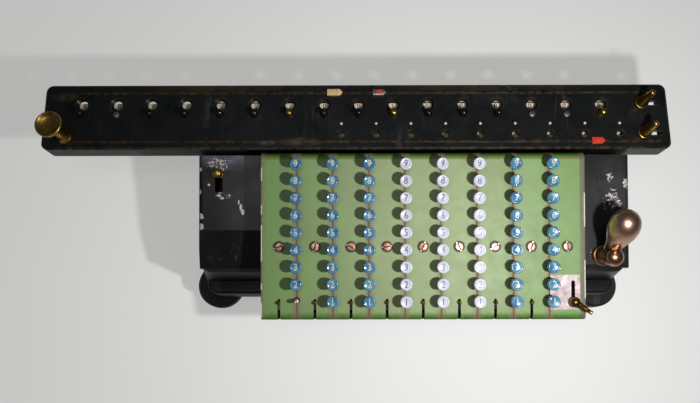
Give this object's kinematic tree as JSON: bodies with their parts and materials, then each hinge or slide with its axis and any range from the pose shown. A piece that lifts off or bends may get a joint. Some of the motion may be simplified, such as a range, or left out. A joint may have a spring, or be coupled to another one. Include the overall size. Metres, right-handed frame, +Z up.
{
  "type": "mechanical calculator",
  "caption": "Full-keyboard calculating machine: sloping keyboard, stepped drums, a crank, and a carriage of number dials that slides and lifts.",
  "frame": {"origin": "on the table, at the underside of the base, below the middle of the keyboard's width", "axes": "+X to the right along the carriage, +Y from the keyboard towards the carriage, +Z up"},
  "size_m": [0.451, 0.1743, 0.13],
  "materials": {
    "japanned_base": "worn black japan on cast iron",
    "japanned_case": "gloss black japan, chipped at the edges",
    "carriage_japan": "black japan rubbed to brass colour along the rear edge",
    "keyboard_green": "green enamel with rusty seams and chipped cream edges",
    "dark_frame": "satin black",
    "screw_nickel": "worn nickel, copper showing through",
    "lever_plate_nickel": "worn nickel with a pink cast",
    "working_steel": "oiled steel",
    "crank_bronze": "polished coppery brass, dark in the hollows",
    "lever_brass": "polished brass, dark in the hollows",
    "key_blue": "glossy blue with pale numerals",
    "key_white": "glossy white with blue numerals",
    "dial_ivory": "aged ivory with dark numerals",
    "marker_red": "worn red and orange enamel"
  },
  "bodies": {
    "base": {"base_frame": "japanned_base", "case_shell": "japanned_case", "left_cover": "japanned_case", "right_cover": "japanned_case", "keyboard_frame": "dark_frame", "keyboard_strips": "keyboard_green", "strip_screws": "screw_nickel", "lever_plate": "lever_plate_nickel", "bearing_plates": "working_steel", "carriage_rails": "working_steel"},
    "crank": {"crank": "crank_bronze"},
    "grip": {"crank_grip": "crank_bronze"},
    "cross_shaft": {"cross_shaft": "working_steel"},
    "drum_1": {"stepped_drum_1": "working_steel"},
    "drum_2": {"stepped_drum_2": "working_steel"},
    "drum_3": {"stepped_drum_3": "working_steel"},
    "drum_4": {"stepped_drum_4": "working_steel"},
    "cover_lever": {"cover_lever": "lever_brass"},
    "function_lever": {"function_lever": "lever_brass"},
    "column_levers": {"column_levers": "lever_brass"},
    "keys_1": {"keys_column_1": "key_blue"},
    "keys_2": {"keys_column_2": "key_blue"},
    "keys_3": {"keys_column_3": "key_blue"},
    "keys_4": {"keys_column_4": "key_white"},
    "keys_5": {"keys_column_5": "key_white"},
    "keys_6": {"keys_column_6": "key_white"},
    "keys_7": {"keys_column_7": "key_blue"},
    "keys_8": {"keys_column_8": "key_blue"},
    "slide": {"slide_sleeve": "working_steel"},
    "carriage": {"carriage_cover": "carriage_japan", "carriage_bridge": "working_steel", "lift_knob": "lever_brass"},
    "result_handle": {"result_clearing_handle": "lever_brass"},
    "counter_handle": {"counter_clearing_handle": "lever_brass"},
    "markers": {"decimal_markers": "marker_red"},
    "result_dial_1": {"result_dial_1": "dial_ivory"},
    "result_dial_2": {"result_dial_2": "dial_ivory"},
    "result_dial_3": {"result_dial_3": "dial_ivory"},
    "result_dial_4": {"result_dial_4": "dial_ivory"},
    "result_dial_5": {"result_dial_5": "dial_ivory"},
    "result_dial_6": {"result_dial_6": "dial_ivory"},
    "result_dial_7": {"result_dial_7": "dial_ivory"},
    "result_dial_8": {"result_dial_8": "dial_ivory"},
    "result_dial_9": {"result_dial_9": "dial_ivory"},
    "result_dial_10": {"result_dial_10": "dial_ivory"},
    "result_dial_11": {"result_dial_11": "dial_ivory"},
    "result_dial_12": {"result_dial_12": "dial_ivory"},
    "result_dial_13": {"result_dial_13": "dial_ivory"},
    "result_dial_14": {"result_dial_14": "dial_ivory"},
    "result_dial_15": {"result_dial_15": "dial_ivory"},
    "result_dial_16": {"result_dial_16": "dial_ivory"},
    "counter_dial_1": {"counter_dial_1": "dial_ivory"},
    "counter_dial_2": {"counter_dial_2": "dial_ivory"},
    "counter_dial_3": {"counter_dial_3": "dial_ivory"},
    "counter_dial_4": {"counter_dial_4": "dial_ivory"},
    "counter_dial_5": {"counter_dial_5": "dial_ivory"},
    "counter_dial_6": {"counter_dial_6": "dial_ivory"},
    "counter_dial_7": {"counter_dial_7": "dial_ivory"},
    "counter_dial_8": {"counter_dial_8": "dial_ivory"},
    "counter_dial_9": {"counter_dial_9": "dial_ivory"}
  },
  "joints": [
    {"name": "crank_turn", "type": "hinge", "parent": "base", "child": "crank", "pos_m": [0.131, -0.049, 0.07594], "axis": [0, -0.2079, 0.9781], "continuous": true},
    {"name": "grip_spin", "type": "hinge", "parent": "crank", "child": "grip", "pos_m": [0.131, -0.05139, 0.08719], "axis": [0.0439, 0.4525, 0.8907], "continuous": true},
    {"name": "cross_shaft_turn", "type": "hinge", "parent": "base", "child": "cross_shaft", "pos_m": [0, -0.04068, 0.03682], "axis": [1, 0, 0], "continuous": true},
    {"name": "drum_1_turn", "type": "hinge", "parent": "base", "child": "drum_1", "pos_m": [-0.075, 0, 0.03682], "axis": [0, 1, 0], "continuous": true},
    {"name": "drum_2_turn", "type": "hinge", "parent": "base", "child": "drum_2", "pos_m": [-0.025, 0, 0.03682], "axis": [0, 1, 0], "continuous": true},
    {"name": "drum_3_turn", "type": "hinge", "parent": "base", "child": "drum_3", "pos_m": [0.025, 0, 0.03682], "axis": [0, 1, 0], "continuous": true},
    {"name": "drum_4_turn", "type": "hinge", "parent": "base", "child": "drum_4", "pos_m": [0.075, 0, 0.03682], "axis": [0, 1, 0], "continuous": true},
    {"name": "cover_lever_slide", "type": "slide", "parent": "base", "child": "cover_lever", "axis": [0, -0.9781, -0.2079], "range_m": [0, 0.0115]},
    {"name": "function_lever_slide", "type": "slide", "parent": "base", "child": "function_lever", "axis": [0, 0.9781, 0.2079], "range_m": [0, 0.012]},
    {"name": "column_levers_slide", "type": "slide", "parent": "base", "child": "column_levers", "axis": [0, 0.9781, 0.2079], "range_m": [-0.003, 0]},
    {"name": "keys_1_press", "type": "slide", "parent": "base", "child": "keys_1", "axis": [0, 0.2079, -0.9781], "range_m": [0, 0.004], "stiffness_N_per_m": 300, "springref_m": -0.002},
    {"name": "keys_2_press", "type": "slide", "parent": "base", "child": "keys_2", "axis": [0, 0.2079, -0.9781], "range_m": [0, 0.004], "stiffness_N_per_m": 300, "springref_m": -0.002},
    {"name": "keys_3_press", "type": "slide", "parent": "base", "child": "keys_3", "axis": [0, 0.2079, -0.9781], "range_m": [0, 0.004], "stiffness_N_per_m": 300, "springref_m": -0.002},
    {"name": "keys_4_press", "type": "slide", "parent": "base", "child": "keys_4", "axis": [0, 0.2079, -0.9781], "range_m": [0, 0.004], "stiffness_N_per_m": 300, "springref_m": -0.002},
    {"name": "keys_5_press", "type": "slide", "parent": "base", "child": "keys_5", "axis": [0, 0.2079, -0.9781], "range_m": [0, 0.004], "stiffness_N_per_m": 300, "springref_m": -0.002},
    {"name": "keys_6_press", "type": "slide", "parent": "base", "child": "keys_6", "axis": [0, 0.2079, -0.9781], "range_m": [0, 0.004], "stiffness_N_per_m": 300, "springref_m": -0.002},
    {"name": "keys_7_press", "type": "slide", "parent": "base", "child": "keys_7", "axis": [0, 0.2079, -0.9781], "range_m": [0, 0.004], "stiffness_N_per_m": 300, "springref_m": -0.002},
    {"name": "keys_8_press", "type": "slide", "parent": "base", "child": "keys_8", "axis": [0, 0.2079, -0.9781], "range_m": [0, 0.004], "stiffness_N_per_m": 300, "springref_m": -0.002},
    {"name": "carriage_shift", "type": "slide", "parent": "base", "child": "slide", "axis": [1, 0, 0], "range_m": [-0.05, 0.15]},
    {"name": "carriage_lift", "type": "hinge", "parent": "slide", "child": "carriage", "pos_m": [0, 0.06495, 0.078], "axis": [-1, 0, 0], "range_deg": [0, 25]},
    {"name": "result_clearing_slide", "type": "slide", "parent": "carriage", "child": "result_handle", "axis": [1, 0, 0], "range_m": [0, 0.009]},
    {"name": "counter_clearing_slide", "type": "slide", "parent": "carriage", "child": "counter_handle", "axis": [1, 0, 0], "range_m": [0, 0.011]},
    {"name": "markers_slide", "type": "slide", "parent": "carriage", "child": "markers", "axis": [1, 0, 0], "range_m": [-0.015, 0.015]},
    {"name": "result_dial_1_turn", "type": "hinge", "parent": "carriage", "child": "result_dial_1", "pos_m": [-0.2442, 0.04995, 0.095], "axis": [0, 0, 1], "continuous": true},
    {"name": "result_dial_2_turn", "type": "hinge", "parent": "carriage", "child": "result_dial_2", "pos_m": [-0.2192, 0.04995, 0.095], "axis": [0, 0, 1], "continuous": true},
    {"name": "result_dial_3_turn", "type": "hinge", "parent": "carriage", "child": "result_dial_3", "pos_m": [-0.1942, 0.04995, 0.095], "axis": [0, 0, 1], "continuous": true},
    {"name": "result_dial_4_turn", "type": "hinge", "parent": "carriage", "child": "result_dial_4", "pos_m": [-0.1692, 0.04995, 0.095], "axis": [0, 0, 1], "continuous": true},
    {"name": "result_dial_5_turn", "type": "hinge", "parent": "carriage", "child": "result_dial_5", "pos_m": [-0.1442, 0.04995, 0.095], "axis": [0, 0, 1], "continuous": true},
    {"name": "result_dial_6_turn", "type": "hinge", "parent": "carriage", "child": "result_dial_6", "pos_m": [-0.1192, 0.04995, 0.095], "axis": [0, 0, 1], "continuous": true},
    {"name": "result_dial_7_turn", "type": "hinge", "parent": "carriage", "child": "result_dial_7", "pos_m": [-0.0942, 0.04995, 0.095], "axis": [0, 0, 1], "continuous": true},
    {"name": "result_dial_8_turn", "type": "hinge", "parent": "carriage", "child": "result_dial_8", "pos_m": [-0.0692, 0.04995, 0.095], "axis": [0, 0, 1], "continuous": true},
    {"name": "result_dial_9_turn", "type": "hinge", "parent": "carriage", "child": "result_dial_9", "pos_m": [-0.0442, 0.04995, 0.095], "axis": [0, 0, 1], "continuous": true},
    {"name": "result_dial_10_turn", "type": "hinge", "parent": "carriage", "child": "result_dial_10", "pos_m": [-0.0192, 0.04995, 0.095], "axis": [0, 0, 1], "continuous": true},
    {"name": "result_dial_11_turn", "type": "hinge", "parent": "carriage", "child": "result_dial_11", "pos_m": [0.0058, 0.04995, 0.095], "axis": [0, 0, 1], "continuous": true},
    {"name": "result_dial_12_turn", "type": "hinge", "parent": "carriage", "child": "result_dial_12", "pos_m": [0.0308, 0.04995, 0.095], "axis": [0, 0, 1], "continuous": true},
    {"name": "result_dial_13_turn", "type": "hinge", "parent": "carriage", "child": "result_dial_13", "pos_m": [0.0558, 0.04995, 0.095], "axis": [0, 0, 1], "continuous": true},
    {"name": "result_dial_14_turn", "type": "hinge", "parent": "carriage", "child": "result_dial_14", "pos_m": [0.0808, 0.04995, 0.095], "axis": [0, 0, 1], "continuous": true},
    {"name": "result_dial_15_turn", "type": "hinge", "parent": "carriage", "child": "result_dial_15", "pos_m": [0.1058, 0.04995, 0.095], "axis": [0, 0, 1], "continuous": true},
    {"name": "result_dial_16_turn", "type": "hinge", "parent": "carriage", "child": "result_dial_16", "pos_m": [0.1308, 0.04995, 0.095], "axis": [0, 0, 1], "continuous": true},
    {"name": "counter_dial_1_turn", "type": "hinge", "parent": "carriage", "child": "counter_dial_1", "pos_m": [-0.0567, 0.04295, 0.09], "axis": [0, 0, 1], "continuous": true},
    {"name": "counter_dial_2_turn", "type": "hinge", "parent": "carriage", "child": "counter_dial_2", "pos_m": [-0.0317, 0.04295, 0.09], "axis": [0, 0, 1], "continuous": true},
    {"name": "counter_dial_3_turn", "type": "hinge", "parent": "carriage", "child": "counter_dial_3", "pos_m": [-0.0067, 0.04295, 0.09], "axis": [0, 0, 1], "continuous": true},
    {"name": "counter_dial_4_turn", "type": "hinge", "parent": "carriage", "child": "counter_dial_4", "pos_m": [0.0183, 0.04295, 0.09], "axis": [0, 0, 1], "continuous": true},
    {"name": "counter_dial_5_turn", "type": "hinge", "parent": "carriage", "child": "counter_dial_5", "pos_m": [0.0433, 0.04295, 0.09], "axis": [0, 0, 1], "continuous": true},
    {"name": "counter_dial_6_turn", "type": "hinge", "parent": "carriage", "child": "counter_dial_6", "pos_m": [0.0683, 0.04295, 0.09], "axis": [0, 0, 1], "continuous": true},
    {"name": "counter_dial_7_turn", "type": "hinge", "parent": "carriage", "child": "counter_dial_7", "pos_m": [0.0933, 0.04295, 0.09], "axis": [0, 0, 1], "continuous": true},
    {"name": "counter_dial_8_turn", "type": "hinge", "parent": "carriage", "child": "counter_dial_8", "pos_m": [0.1183, 0.04295, 0.09], "axis": [0, 0, 1], "continuous": true},
    {"name": "counter_dial_9_turn", "type": "hinge", "parent": "carriage", "child": "counter_dial_9", "pos_m": [0.1433, 0.04295, 0.09], "axis": [0, 0, 1], "continuous": true}
  ],
  "couplings": [
    {"joint": "cross_shaft_turn", "follows": "crank_turn", "ratio": 1},
    {"joint": "drum_1_turn", "follows": "crank_turn", "ratio": -1},
    {"joint": "drum_2_turn", "follows": "crank_turn", "ratio": -1},
    {"joint": "drum_3_turn", "follows": "crank_turn", "ratio": -1},
    {"joint": "drum_4_turn", "follows": "crank_turn", "ratio": -1}
  ]
}
